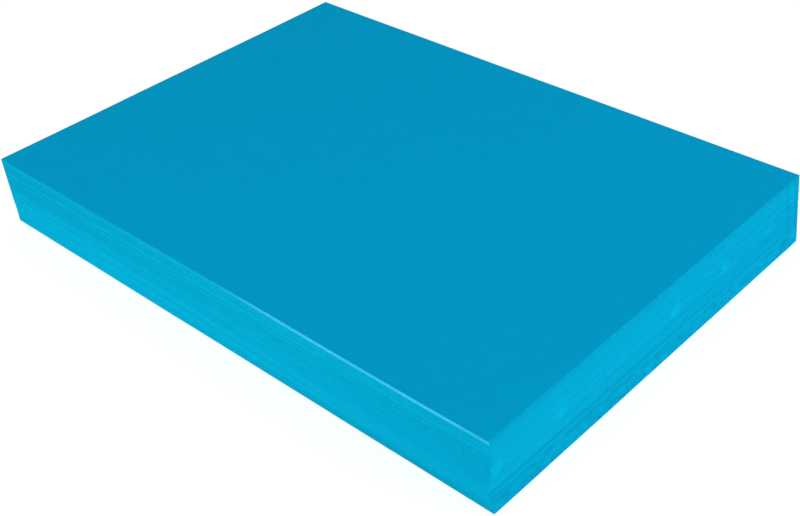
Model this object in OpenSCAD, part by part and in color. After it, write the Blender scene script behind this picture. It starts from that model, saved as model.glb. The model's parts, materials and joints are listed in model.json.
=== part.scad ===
// A ream of A3 paper: 500 loose sheets, jogged into a block by hand.
// The origin is the middle of the underside. X runs along the short side, Y along the long side, Z up.

/* [Sheet] */
// Short side of a sheet
sheet_w = 297; // [100:1:450]
// Long side of a sheet
sheet_l = 420; // [140:1:640]
// Thickness of a sheet
sheet_t = 0.094; // [0.07:0.002:0.3]
// Air between two neighbouring sheets
air = 0.002; // [0.001:0.001:0.01]

/* [Stack] */
// Sheets on top of the stack that stand alone
single_sheets = 10; // [2:1:10]
// Lifts under them
lifts = 49; // [10:1:49]
// Sheets in a lift
sheets_per_lift = 10; // [5:1:10]

/* [Lay of the stack] */
// How far the lowest sheet lies in front of the top one
lean_forward = 2.4; // [0:0.1:5]
// How far the lowest sheet lies to the left of the top one
lean_left = 0.5; // [0:0.1:3]
// How far the lowest sheet is turned against the top one, in degrees
twist = -0.15; // [-0.5:0.05:0.5]
// How far the near left corner of the sheets of the upper half is swung in, to the right
swung_in = 1; // [0:0.05:3]
// How far that of the sheets of the lower half is swung out, to the left
swung_out = 2.5; // [0:0.05:4]
// How far that of the bottom band is set back
band_step = 0.25; // [0:0.05:2]
// Height of the bottom band, as a share of the stack
band_share = 0.26; // [0.15:0.01:0.35]
// How far a whole lift lies out of line
lift_scatter = 0.04; // [0:0.01:0.5]
// How far a single sheet lies out of line
sheet_scatter = 0.03; // [0:0.01:0.3]
// How far a single sheet is turned out of line, in degrees
sheet_turn = 0.01; // [0:0.005:0.1]

/* [Hidden] */
sheets = single_sheets + lifts * sheets_per_lift;
pitch = sheet_t + air;

// Depth below the top, as a share of the height, at which the upper half ends
upper_end = 0.43;
// Depths between which the lower half swings out, and at which it starts to swing back
lower_from = 0.42;
lower_full = 0.68;
lower_back = 0.76;

// The point about which sheets swing, measured from their middle
pivot = [-0.19 * sheet_w, 0.4 * sheet_l];

// Each sheet's own place out of line, from -1 to 1, and the same for each lift
scatter_x = rands(-1, 1, sheets, 11);
scatter_y = rands(-1, 1, sheets, 12);
scatter_turn = rands(-1, 1, sheets, 13);
lift_x = rands(-1, 1, lifts + 1, 21);
lift_y = rands(-1, 1, lifts + 1, 22);

function two_digits(n) = str(n < 10 ? "0" : "", n);
function sheet_name(n) = n == 1 ? "top_sheet" : str("sheet_", two_digits(n));
function lift_name(n) = str("lift_", two_digits(n));

// 0 before 0, 1 after 1 and a smooth ramp between
function ramp(s) = let (c = min(max(s, 0), 1)) c * c * (3 - 2 * c);

// Depth of a sheet below the top as a share of the height, where sheet 0 is the top one
function depth(i) = i / (sheets - 1);
// The lift that a sheet belongs to, where 0 stands for the single sheets
function lift_of(i) = i < single_sheets ? 0 : 1 + floor((i - single_sheets) / sheets_per_lift);

// How far each movement of the stack has gone at depth t
function upper_at(t) = t < upper_end ? sin(180 * pow(t / upper_end, 1.3)) : 0;
function lower_at(t) = min(ramp((t - lower_from) / (lower_full - lower_from)), (1 - t) / (1 - lower_back));
function band_at(t) = t > 1 - band_share ? lower_at(t) : 0;

// The turn of a sheet about the pivot, that about its near left corner and that about its near right corner
function swing(t) = atan((swung_in * upper_at(t) - swung_out * lower_at(t)) / (pivot.y + sheet_l / 2));
function left_turn(i) = twist * depth(i) + sheet_turn * scatter_turn[i];
function right_turn(t) = -atan(band_step * band_at(t) / sheet_w);
function turn(i) = swing(depth(i)) + left_turn(i) + right_turn(depth(i));

// How far the middle of a sheet moves when it turns by a about a point, which is at (x, y) from the middle
function turned(a, x, y) = [x - x * cos(a) + y * sin(a), y - x * sin(a) - y * cos(a)];

// How far the middle of a sheet lies out of line
function lay(i) = depth(i) * [-lean_left, -lean_forward]
    + turned(swing(depth(i)), pivot.x, pivot.y)
    + turned(left_turn(i), -sheet_w / 2, -sheet_l / 2)
    + turned(right_turn(depth(i)), sheet_w / 2, -sheet_l / 2)
    + lift_scatter * [lift_x[lift_of(i)], lift_y[lift_of(i)]]
    + sheet_scatter * [scatter_x[i], scatter_y[i]];

// The lay of every sheet, and how far its edges reach past those of a sheet that isn't turned
all_lays = [for (i = [0 : sheets - 1]) lay(i)];
all_x = [for (p = all_lays) p.x];
all_y = [for (p = all_lays) p.y];
reach_x = [for (i = [0 : sheets - 1]) sheet_l * sin(abs(turn(i))) / 2];
reach_y = [for (i = [0 : sheets - 1]) sheet_w * sin(abs(turn(i))) / 2];

// How far all sheets are moved so that the origin is the middle of the stack
middle_x = (max(all_x + reach_x) + min(all_x - reach_x)) / 2;
middle_y = (max(all_y + reach_y) + min(all_y - reach_y)) / 2;

// The underside of sheet i, where 0 is the top one
function sheet_z(i) = (sheets - 1 - i) * pitch;

// Sheet i at its place in the stack
module sheet(i) {
    translate([all_x[i] - middle_x, all_y[i] - middle_y, sheet_z(i) + sheet_t / 2])
        rotate([0, 0, turn(i)])
            cube([sheet_w, sheet_l, sheet_t], center = true);
}

// A sheet that stands alone, counted from 1 at the top
module single_sheet(n) {
    color([0, 0.58, 0.76]) sheet(n - 1);
}

// Lift n, counted from 1 under the single sheets
module lift(n) {
    first = single_sheets + (n - 1) * sheets_per_lift;
    color([0, 0.69, 0.85])
        for (i = [first : first + sheets_per_lift - 1])
            sheet(i);
}

for (n = [1 : single_sheets])
    single_sheet(n);

for (n = [1 : lifts])
    lift(n);
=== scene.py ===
import json
import math

import bpy
import numpy as np
from mathutils import Matrix, Vector


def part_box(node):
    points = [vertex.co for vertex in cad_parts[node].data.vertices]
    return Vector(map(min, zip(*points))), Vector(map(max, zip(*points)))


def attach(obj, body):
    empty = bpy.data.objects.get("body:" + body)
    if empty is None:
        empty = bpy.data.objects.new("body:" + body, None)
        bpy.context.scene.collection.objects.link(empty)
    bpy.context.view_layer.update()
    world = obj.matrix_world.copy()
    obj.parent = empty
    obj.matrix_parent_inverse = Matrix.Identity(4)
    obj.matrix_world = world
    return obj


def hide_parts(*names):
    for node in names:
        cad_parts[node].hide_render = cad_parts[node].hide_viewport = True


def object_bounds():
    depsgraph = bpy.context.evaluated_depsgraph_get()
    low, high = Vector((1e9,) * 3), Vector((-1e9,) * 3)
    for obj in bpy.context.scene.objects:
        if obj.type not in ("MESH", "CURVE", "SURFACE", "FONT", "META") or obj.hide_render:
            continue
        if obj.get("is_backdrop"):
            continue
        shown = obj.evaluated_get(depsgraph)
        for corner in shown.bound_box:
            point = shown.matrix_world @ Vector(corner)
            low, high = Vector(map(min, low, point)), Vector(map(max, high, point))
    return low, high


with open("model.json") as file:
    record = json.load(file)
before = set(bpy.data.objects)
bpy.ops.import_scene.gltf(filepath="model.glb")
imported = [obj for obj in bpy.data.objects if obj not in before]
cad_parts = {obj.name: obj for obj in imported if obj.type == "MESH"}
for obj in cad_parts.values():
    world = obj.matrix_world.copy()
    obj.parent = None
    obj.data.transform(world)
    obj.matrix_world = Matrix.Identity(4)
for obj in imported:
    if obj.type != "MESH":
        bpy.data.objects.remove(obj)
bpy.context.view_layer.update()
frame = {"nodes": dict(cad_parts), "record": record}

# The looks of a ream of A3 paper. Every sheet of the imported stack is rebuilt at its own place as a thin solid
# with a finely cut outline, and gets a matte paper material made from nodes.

MM = 0.001
scene = bpy.context.scene
scene.view_settings.view_transform = "Standard"
scene.view_settings.look = "None"


# ---------------------------------------------------------------- camera

CAMERA_ASIDE = (-0.4960, -0.5202)           # in plan, from the middle of the top sheet
CAMERA_HEIGHT = 0.4968
CAMERA_FORWARD = (0.6125, 0.5681, -0.5497)
CAMERA_RIGHT = (0.6587, -0.7512, -0.0423)   # not quite level: the camera is rolled a little
CAMERA_LENS, CAMERA_SENSOR = 59.77, 36      # millimetres
CAMERA_SHIFT = (-0.072, -0.08)
CAMERA_RANGE = (0.01, 100)


def make_camera():
    low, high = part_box("top_sheet")
    place = Vector(((low.x + high.x) / 2 + CAMERA_ASIDE[0], (low.y + high.y) / 2 + CAMERA_ASIDE[1], CAMERA_HEIGHT))
    back = -Vector(CAMERA_FORWARD).normalized()
    right = Vector(CAMERA_RIGHT)
    right = (right - back * right.dot(back)).normalized()
    up = back.cross(right)
    data = bpy.data.cameras.new("camera")
    data.lens, data.sensor_width = CAMERA_LENS, CAMERA_SENSOR
    data.shift_x, data.shift_y = CAMERA_SHIFT
    data.clip_start, data.clip_end = CAMERA_RANGE
    camera = bpy.data.objects.new("camera", data)
    camera.matrix_world = Matrix.Translation(place) @ Matrix((right, up, back)).transposed().to_4x4()
    scene.collection.objects.link(camera)
    scene.camera = camera


make_camera()


# ---------------------------------------------------------------- sheets as the frame has them

STACK_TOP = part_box("top_sheet")[1].z
SAME_LEVEL = 0.0005 * MM    # points closer together in height than this belong to one flat
CORNER_WAYS = ((-1, -1), (1, -1), (1, 1), (-1, 1))      # near left, near right, far right, far left


def sheets_of(node):
    """The sheets of a CAD node from the top down: (four corners in plan, anticlockwise from the near left one,
    underside, top)."""
    co = np.array([v.co for v in frame["nodes"][node].data.vertices], float)
    levels = []
    for z in np.sort(co[:, 2]):
        if not levels or z - levels[-1] > SAME_LEVEL:
            levels.append(z)
    found = []
    for low, high in zip(levels[0::2], levels[1::2]):
        plan = co[(co[:, 2] > low - SAME_LEVEL) & (co[:, 2] < high + SAME_LEVEL)][:, :2]
        middle = (plan.min(0) + plan.max(0)) / 2
        corners = [plan[np.argmax((plan - middle) @ np.array(way))] for way in CORNER_WAYS]
        found.append((np.array(corners), low, high))
    return found[::-1]


# ---------------------------------------------------------------- ripples of the cut edges

rng = np.random.default_rng(7)
SIDES = 4
SHARED_EACH = 3             # shared ripples on each side
SHARED_SIZE = 0.02 * MM
OWN_EACH = 2                # ripples of a sheet's own

# Each side of the stack was cut with one stroke, so its ripples run through many sheets: (wave, phase, climb).
SHARED = [(rng.uniform(60, 240) * MM, rng.uniform(0, 2 * math.pi), rng.uniform(-90, 90))
          for _ in range(SIDES * SHARED_EACH)]


def own_ripples():
    """Smaller ripples that only one sheet has: (wave, phase, size)."""
    return [(rng.uniform(25, 90) * MM, rng.uniform(0, 2 * math.pi), rng.uniform(0.002, 0.007) * MM)
            for _ in range(OWN_EACH)]


def ripple(side, along, z, own):
    """How far the edge stands out at distance along, in metres: the shared ripples, then the sheet's own."""
    out = np.zeros_like(along)
    for wave, phase, climb in SHARED[side * SHARED_EACH:(side + 1) * SHARED_EACH]:
        out += SHARED_SIZE * np.sin(2 * math.pi * along / wave + phase + climb * z)
    for wave, phase, size in own:
        out += size * np.sin(2 * math.pi * along / wave + phase)
    return out


# ---------------------------------------------------------------- sheet meshes

FACE, EDGE = 0, 1           # material slots of every sheet
OUTLINE_STEP = 7 * MM       # between the points of a plain sheet's outline
CORNER_FADE = 10 * MM       # the ripples fade out this close to a corner
RIM_CUTS = np.array((0, 0.3, 0.7, 1.3, 2.5, 5)) * MM    # cuts of a fine sheet near its edges
MIDDLE_STEP = 10 * MM       # between the cuts of a fine sheet further in
WAVE_RISE, CURL_RISE = 0.06, 0.9        # millimetres
LIP_RISE, LIP_WIDTH = 0.1 * MM, 0.5 * MM
LIP_END, LIP_FADE = 0.27, 0.12          # metres from the near corner
LIP_WAVE = 7 * MM

# Distances that every point of a sheet keeps, in metres: from which of the sheet's corners each is measured.
DISTANCES = {"from_near_left": 0, "from_near_right": 1}


def new_build():
    return {"verts": [], "faces": [], "slots": [], **{name: [] for name in DISTANCES}}


def add_points(build, plan, z, corners):
    """Adds points at plan and z, with how far each lies from the two near corners of its own sheet."""
    build["verts"] += [(x, y, h) for (x, y), h in zip(plan, z)]
    for name, corner in DISTANCES.items():
        build[name] += list(np.linalg.norm(plan - corners[corner], axis=1))


def outline_of(corners, z):
    """Points round a plain sheet in plan, anticlockwise."""
    points = []
    for side in range(SIDES):
        a, b = corners[side], corners[(side + 1) % SIDES]
        length = np.linalg.norm(b - a)
        way = (b - a) / length
        out = np.array((way[1], -way[0]))
        share = np.linspace(0, 1, int(round(length / OUTLINE_STEP)) + 1)[:-1]
        fade = np.minimum(1, np.minimum(share, 1 - share) * length / CORNER_FADE)
        move = ripple(side, share * length, z, own_ripples()) * fade
        points.append(a + share[:, None] * (b - a) + move[:, None] * out)
    return np.concatenate(points)


def add_sheet(build, corners, low, high):
    """A plain sheet: one face above and one below, and the cut edge between."""
    ring = outline_of(corners, low)
    n = len(ring)
    first = len(build["verts"])
    for z in (high, low):
        add_points(build, ring, np.full(n, z), corners)
    above, below = range(first, first + n), range(first + n, first + 2 * n)
    build["faces"] += [tuple(above), tuple(reversed(below))]
    build["slots"] += [FACE, FACE]
    for i in range(n):
        j = (i + 1) % n
        build["faces"].append((below[i], below[j], above[j], above[i]))
        build["slots"].append(EDGE)


def cuts(length):
    """Where a fine sheet is cut along one of its sides: closer together towards its edges."""
    rim = RIM_CUTS[-1]
    middle = np.linspace(rim, length - rim, int(round((length - 2 * rim) / MIDDLE_STEP)) + 1)
    return np.concatenate((RIM_CUTS[:-1], middle, length - RIM_CUTS[-2::-1]))


def relief(across, along, width, length):
    """How far paper rises off a flat stack: slow waves, and corners that curl up. Never below 0."""
    u, v = across / width, along / length
    waves = (1 + 0.5 * np.sin(2 * math.pi * (1.3 * u + 0.4 * v) + 0.6)
             + 0.5 * np.sin(2 * math.pi * (1.9 * v - 0.7 * u) + 2.0))
    corner = np.maximum(np.abs(2 * u - 1) + np.abs(2 * v - 1) - 1.6, 0) ** 2
    return (WAVE_RISE * waves + CURL_RISE * corner) * MM


def lip(across, along):
    """The burr that the knife raised along the near left edge of the top sheet, on its nearer part."""
    run = np.clip((LIP_END - along) / LIP_FADE, 0, 1)
    return LIP_RISE * run * np.exp(-(across / LIP_WIDTH) ** 2) * (1 + 0.3 * np.sin(along / LIP_WAVE))


def add_fine_sheet(build, corners, low, high, share, lipped):
    """A sheet as a fine grid above and below, raised by share of the relief."""
    origin, x_way, y_way = corners[0], corners[1] - corners[0], corners[3] - corners[0]
    width, length = np.linalg.norm(x_way), np.linalg.norm(y_way)
    x_way, y_way = x_way / width, y_way / length
    across, along = np.meshgrid(cuts(width), cuts(length), indexing="ij")
    rise = relief(across, along, width, length) * share + (lip(across, along) if lipped else 0)
    move = np.zeros(across.shape + (2,))
    own = own_ripples()
    for line, side, way, run in ((np.s_[:, 0], 0, -y_way, across), (np.s_[-1, :], 1, x_way, along),
                                 (np.s_[:, -1], 2, y_way, across), (np.s_[0, :], 3, -x_way, along)):
        move[line] += ripple(side, run[line], low, own)[:, None] * way
    plan = origin + across[..., None] * x_way + along[..., None] * y_way + move
    nu, nv = across.shape
    first = len(build["verts"])
    for z in (high, low):
        add_points(build, plan.reshape(-1, 2), (z + rise).ravel(), corners)

    def at(i, j, under):
        return first + under * nu * nv + i * nv + j

    for i in range(nu - 1):
        for j in range(nv - 1):
            build["faces"].append((at(i, j, 0), at(i + 1, j, 0), at(i + 1, j + 1, 0), at(i, j + 1, 0)))
            build["faces"].append((at(i, j, 1), at(i, j + 1, 1), at(i + 1, j + 1, 1), at(i + 1, j, 1)))
            build["slots"] += [FACE, FACE]
    border = ([(i, 0) for i in range(nu)] + [(nu - 1, j) for j in range(1, nv)]
              + [(i, nv - 1) for i in range(nu - 2, -1, -1)] + [(0, j) for j in range(nv - 2, 0, -1)])
    for (i, j), (k, l) in zip(border, border[1:] + border[:1]):
        build["faces"].append((at(i, j, 1), at(k, l, 1), at(k, l, 0), at(i, j, 0)))
        build["slots"].append(EDGE)


def mesh_object(name, build, materials):
    mesh = bpy.data.meshes.new(name)
    mesh.from_pydata(build["verts"], [], build["faces"])
    for material in materials:
        mesh.materials.append(material)
    mesh.polygons.foreach_set("material_index", build["slots"])
    for distance in DISTANCES:
        mesh.attributes.new(distance, "FLOAT", "POINT").data.foreach_set("value", build[distance])
    mesh.validate()
    mesh.update()
    piece = bpy.data.objects.new(name, mesh)
    scene.collection.objects.link(piece)
    return piece


# ---------------------------------------------------------------- node trees

class Tree:
    """Short names for the nodes that the paper uses. Lengths are in millimetres."""

    SPECULAR = 0.015
    BUMP_STRENGTH = 0.5

    def __init__(self, name):
        self.material = bpy.data.materials.new(name)
        self.material.use_nodes = True
        self.nodes, self.links = self.material.node_tree.nodes, self.material.node_tree.links
        self.shader = self.nodes["Principled BSDF"]
        coordinates = self.nodes.new("ShaderNodeTexCoord")
        self.place, self.normal = coordinates.outputs["Object"], coordinates.outputs["Normal"]

    def feed(self, socket, value):
        if isinstance(value, bpy.types.NodeSocket):
            self.links.new(value, socket)
        else:
            socket.default_value = value

    def node(self, kind, **inputs):
        made = self.nodes.new(kind)
        for key, value in inputs.items():
            self.feed(made.inputs[key], value)
        return made

    def part(self, vector, axis):
        """The x, y or z of a vector, where axis is 0, 1 or 2."""
        return self.node("ShaderNodeSeparateXYZ", Vector=vector).outputs[axis]

    def distance(self, name):
        """A distance that is kept with the mesh's points."""
        made = self.node("ShaderNodeAttribute")
        made.attribute_name = name
        return self.times(made.outputs["Fac"], 1 / MM)

    def faces_back(self, axis):
        """1 where the surface faces the negative way of an axis, and 0 elsewhere."""
        return self.ramp(self.part(self.normal, axis), -0.9, -0.7, 1, 0)

    def math(self, operation, a, b=0.0):
        made = self.nodes.new("ShaderNodeMath")
        made.operation = operation
        for socket, value in zip(made.inputs, (a, b)):
            self.feed(socket, value)
        return made.outputs[0]

    def add(self, first, *others):
        for other in others:
            first = self.math("ADD", first, other)
        return first

    def times(self, first, *others):
        for other in others:
            first = self.math("MULTIPLY", first, other)
        return first

    def noise(self, wave, detail=2.0, seed=0.0):
        """Noise about 0, from about -0.5 to 0.5, whose features are wave = (x, y, z) millimetres long."""
        mapped = self.node("ShaderNodeMapping", Vector=self.place)
        mapped.inputs["Scale"].default_value = [1000 / w for w in wave]
        mapped.inputs["Location"].default_value = (seed, seed * 1.7, seed * 2.3)
        made = self.node("ShaderNodeTexNoise", Vector=mapped.outputs[0], Scale=1.0, Detail=detail)
        return self.math("SUBTRACT", made.outputs[0], 0.5)

    def ramp(self, value, start, end, low=0.0, high=1.0):
        """low before start, high after end and a smooth ramp between."""
        made = self.nodes.new("ShaderNodeMapRange")
        made.interpolation_type = "SMOOTHSTEP"
        for key, v in (("Value", value), ("From Min", start), ("From Max", end), ("To Min", low), ("To Max", high)):
            self.feed(made.inputs[key], v)
        return made.outputs[0]

    def band(self, value, start, end, soft):
        """1 between start and end, and 0 outside, with soft borders."""
        return self.times(self.ramp(value, start - soft / 2, start + soft / 2),
                          self.ramp(value, end - soft / 2, end + soft / 2, 1, 0))

    def bands(self, value, table):
        """The sum of several bands, each given as (start, end, softness, strength)."""
        return self.add(*[self.times(self.band(value, start, end, soft), strength)
                          for start, end, soft, strength in table])

    def spot(self, a, b, size_a, size_b):
        """1 at the middle of a spot and 0 outside it, where a and b are distances from its middle."""
        far = self.add(self.math("POWER", self.math("DIVIDE", a, size_a), 2),
                       self.math("POWER", self.math("DIVIDE", b, size_b), 2))
        return self.ramp(far, 0, 1, 1, 0)

    def colour(self, dye, tone):
        """The dye's colour, tone times as bright."""
        made = self.nodes.new("ShaderNodeVectorMath")
        made.operation = "SCALE"
        self.feed(made.inputs[0], dye)
        self.feed(made.inputs["Scale"], tone)
        return made.outputs[0]

    def mix(self, share, a, b):
        """Colour a, with share of colour b."""
        made = self.nodes.new("ShaderNodeMix")
        made.data_type = "RGBA"
        self.feed(made.inputs["Factor"], share)
        for key, v in (("A", a), ("B", b)):
            socket = next(s for s in made.inputs if s.name == key and s.type == "RGBA")
            self.feed(socket, v if isinstance(v, bpy.types.NodeSocket) else (*v, 1))
        return next(s for s in made.outputs if s.type == "RGBA")

    def finish(self, colour, roughness, height, depth):
        """Feeds the shader, with height as bumps that are depth millimetres deep."""
        self.feed(self.shader.inputs["Base Color"], colour)
        self.feed(self.shader.inputs["Roughness"], roughness)
        self.shader.inputs["Specular IOR Level"].default_value = self.SPECULAR
        bump = self.node("ShaderNodeBump", Height=height)
        bump.inputs["Strength"].default_value = self.BUMP_STRENGTH
        bump.inputs["Distance"].default_value = depth * MM
        self.links.new(bump.outputs[0], self.shader.inputs["Normal"])
        return self.material


# ---------------------------------------------------------------- paper
# deep is the depth under the top of the stack, and along the distance from the near left corner of a sheet. A tone
# is a share of the dye's brightness: 0 changes nothing, and -0.1 is a tenth darker.

FACE_DYE = (0.0, 0.322, 0.550)
EDGE_DYE = (0.0, 0.366, 0.525)
BLUER_EDGE_DYE = (0.0, 0.366, 0.567)    # towards the near corner of the left side
# Painted highlight: the pale colour of the light line under the near left edge of the stack.
EDGE_HIGHLIGHT_COLOUR = (0.08, 0.62, 0.86)
# Painted shadow: dark lines under the sheets that stand out over the bottom band of the near side.
PAINTED_SHADOW_LINES = ((33.0, 34.4, 0.8, -0.16), (37.4, 38.4, 0.5, -0.10))      # in depth, for Tree.bands
STROKES = ((13.0, 15.0, 1.0, -0.13), (10.6, 11.4, 0.8, -0.06), (6.6, 13.2, 0.8, 0.03), (5.0, 6.6, 0.8, -0.12))
RUBS = (0.12, 0.13, 0.03, 0.20, 0.16, 0.10)     # strength of each mark, from the near left corner
RUB_START, RUB_STEP, RUB_DEEP = 4, 52, 20
RUB_SIZE = (7, 5.5)


def paper_face():
    """The flat of a sheet: dyed pulp, cloudy where the fibres lie thicker, with single fibres in it."""
    t = Tree("dyed_paper_face")
    cloud = t.noise((9, 9, 9), 3)
    fibre_a = t.noise((1.6, 0.35, 1), 3, 4)
    fibre_b = t.noise((0.4, 1.9, 1), 3, 9)
    grain = t.noise((0.5, 0.5, 0.5), 2, 2)
    tone = t.add(1.0, t.times(cloud, 0.07), t.times(fibre_a, 0.06), t.times(fibre_b, 0.06), t.times(grain, 0.05))
    rough = t.add(0.92, t.times(cloud, 0.1))
    return t.finish(t.colour(FACE_DYE, tone), rough, t.add(fibre_a, fibre_b, grain), 0.02)


def painted_edge_highlight(t, along, deep):
    """A painted highlight: a pale line under the near left edge, where the cut edges of the upper sheets catch the
    light, over the half next to the near corner, with a faint end that goes on a little further."""
    shine = t.add(0.48, t.times(t.noise((9, 9, 9), 3, 11), 0.5))
    middle = t.add(t.ramp(along, 90, 190, 2.3, 1.0), t.ramp(along, 0, 60, -0.4, 0))
    from_middle = t.math("ABSOLUTE", t.math("SUBTRACT", deep, middle))
    return t.times(t.ramp(from_middle, 0.7, 1.6, 1, 0), t.ramp(along, 145, 208, 1, 0.08),
                   t.ramp(along, 208, 330, 1, 0), t.ramp(along, 0, 30, 0.7, 1), shine)


def left_side(t, along, deep, blotches):
    """Tone of the left side: the upper part of the stack is duller, and rough towards the near corner."""
    upper_part = t.ramp(deep, 21, 25, -0.03, 0.03)
    lower_part = t.times(t.ramp(deep, 20, 34), t.ramp(along, 0, 420, -0.04, 0.12))
    near_end = t.ramp(along, 0, 180, -0.05, 0)
    near_top = t.times(t.ramp(deep, 0.7, 1.2, -0.2, 0), t.ramp(along, 90, 190, 1, 0))
    near_foot = t.times(t.ramp(deep, 34, 46, 0, -0.2), t.ramp(along, 0, 380, 1, 0))
    rough_part = t.times(t.ramp(along, 0, 190, 1, 0), t.band(deep, 2, 22, 8))
    rough = t.times(rough_part, t.add(t.times(blotches, 0.35), -0.04))
    return t.add(upper_part, lower_part, near_end, near_top, near_foot, rough)


def rubs(t, along, deep):
    """Tone of the rubbed marks on the near side."""
    marks = []
    for number, strength in enumerate(RUBS):
        spot = t.spot(t.math("SUBTRACT", along, RUB_START + RUB_STEP * number),
                      t.math("SUBTRACT", deep, RUB_DEEP), *RUB_SIZE)
        speckle = t.add(1.0, t.times(t.noise((3, 3, 2), 2, number), 6))
        marks.append(t.times(spot, speckle, strength))
    return t.add(*marks)


def strokes(t, deep):
    """Tone of the upright strokes of the knife at the right end of the near side. They lean outwards."""
    end = t.add(t.distance("from_near_right"), t.times(deep, 0.1))
    marks = t.add(t.bands(end, STROKES), t.ramp(end, 1.0, 2.5, -0.1, 0))
    return t.times(marks, t.add(1.0, t.times(t.noise((60, 60, 20), 1, 17), 1.5)))


def near_side(t, along, deep, blotches):
    """Tone of the near side: duller at the very top, and painted shadow lines above the bottom band, under the
    sheets that stand out over it. The band is duller and blotchy."""
    top = t.ramp(deep, 2.5, 4.5, -0.07, 0)
    bottom_band = t.ramp(deep, 36.6, 37.6, 0, -0.06)
    # Painted shadow lines under the overhang, fading away from the near corner.
    lines = t.times(t.bands(deep, PAINTED_SHADOW_LINES), t.ramp(along, 60, 230, 1, 0.3))
    clouds = t.times(t.noise((9, 9, 4), 2, 19), 1.6)
    cloudy = t.times(t.add(blotches, clouds), t.ramp(deep, 36, 37), 0.35)
    return t.add(top, bottom_band, lines, cloudy, rubs(t, along, deep), strokes(t, deep))


def paper_edge():
    """The cut edges: a line for every few sheets, upright scratches of the knife and softly rubbed patches."""
    t = Tree("dyed_paper_edge")
    lines = t.noise((120, 120, 0.45), 3)
    patches = t.noise((22, 22, 7), 3, 5)
    scratches = t.noise((0.9, 0.9, 45), 2, 7)
    grain = t.noise((0.5, 0.5, 0.25), 2, 8)
    blotches = t.noise((3, 3, 2), 2, 13)
    along = t.distance("from_near_left")
    deep = t.math("SUBTRACT", STACK_TOP / MM, t.times(t.part(t.place, 2), 1 / MM))
    left, near = t.faces_back(0), t.faces_back(1)
    tone = t.add(1.0, t.times(lines, 0.015), t.times(patches, 0.06), t.times(scratches, 0.04),
                 t.times(grain, 0.05),
                 t.times(left, left_side(t, along, deep, blotches)),
                 t.times(near, near_side(t, along, deep, blotches)))
    dye = t.mix(t.times(left, t.ramp(along, 0, 260, 1, 0.2)), EDGE_DYE, BLUER_EDGE_DYE)
    # The left side gets a painted highlight along its top, next to the near corner.
    dyed = t.mix(t.times(left, painted_edge_highlight(t, along, deep)), t.colour(dye, tone), EDGE_HIGHLIGHT_COLOUR)
    return t.finish(dyed, 0.9, t.add(t.times(lines, 0.15), scratches, grain), 0.03)


# ---------------------------------------------------------------- pieces

FACE_PAPER, EDGE_PAPER = paper_face(), paper_edge()
# The single sheets from the top down. They are made finely, and each is raised a little less than the one above.
SINGLES = sorted((n for n in frame["nodes"] if not n.startswith("lift")), key=lambda n: -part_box(n)[0].z)

for body, members in frame["record"]["behaviour"]["bodies"].items():
    for node in members:
        build = new_build()
        for corners, low, high in sheets_of(node):
            if node in SINGLES:
                number = SINGLES.index(node)
                add_fine_sheet(build, corners, low, high, share=1 - number / len(SINGLES), lipped=number == 0)
            else:
                add_sheet(build, corners, low, high)
        piece = mesh_object(node + "_paper", build, (FACE_PAPER, EDGE_PAPER))
        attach(piece, body)
        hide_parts(node)


# ---------------------------------------------------------------- floor and light

FLOOR_HALF = 20
FLOOR_GREY = 0.45
FLOOR_GLOW = 0.71           # bright enough for the floor to come out white
WORLD_STRENGTH = 0.5
LIGHT_SIZE = 1.5
WHITE = (1, 1, 1)
BLUISH = (1.0, 1.06, 1.27)


def area_light(name, place, power, colour):
    """A square light that faces the origin."""
    data = bpy.data.lights.new(name, "AREA")
    data.shape, data.size, data.energy, data.color = "SQUARE", LIGHT_SIZE, power, colour
    light = bpy.data.objects.new(name, data)
    light.location = place
    light.rotation_mode = "QUATERNION"
    light.rotation_quaternion = (-Vector(place)).to_track_quat("-Z", "Y")
    scene.collection.objects.link(light)


def make_floor():
    mesh = bpy.data.meshes.new("floor")
    mesh.from_pydata([(x * FLOOR_HALF, y * FLOOR_HALF, 0) for x, y in CORNER_WAYS], [], [(0, 1, 2, 3)])
    floor = bpy.data.objects.new("floor", mesh)
    scene.collection.objects.link(floor)
    material = bpy.data.materials.new("pale_floor")
    material.use_nodes = True
    shader = material.node_tree.nodes["Principled BSDF"]
    shader.inputs["Base Color"].default_value = (FLOOR_GREY, FLOOR_GREY, FLOOR_GREY, 1)
    shader.inputs["Emission Color"].default_value = (*WHITE, 1)
    shader.inputs["Emission Strength"].default_value = FLOOR_GLOW
    shader.inputs["Roughness"].default_value = 0.9
    shader.inputs["Specular IOR Level"].default_value = 0.0
    mesh.materials.append(material)
    floor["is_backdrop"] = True


def make_world():
    world = bpy.data.worlds.new("studio")
    world.use_nodes = True
    background = world.node_tree.nodes["Background"]
    background.inputs["Color"].default_value = (*WHITE, 1)
    background.inputs["Strength"].default_value = WORLD_STRENGTH
    scene.world = world


make_floor()
make_world()
area_light("left_box", (-1.95, 0.38, 0.8), 30, WHITE)
area_light("front_box", (1.1, -1.85, 0.8), 34, BLUISH)

low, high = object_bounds()
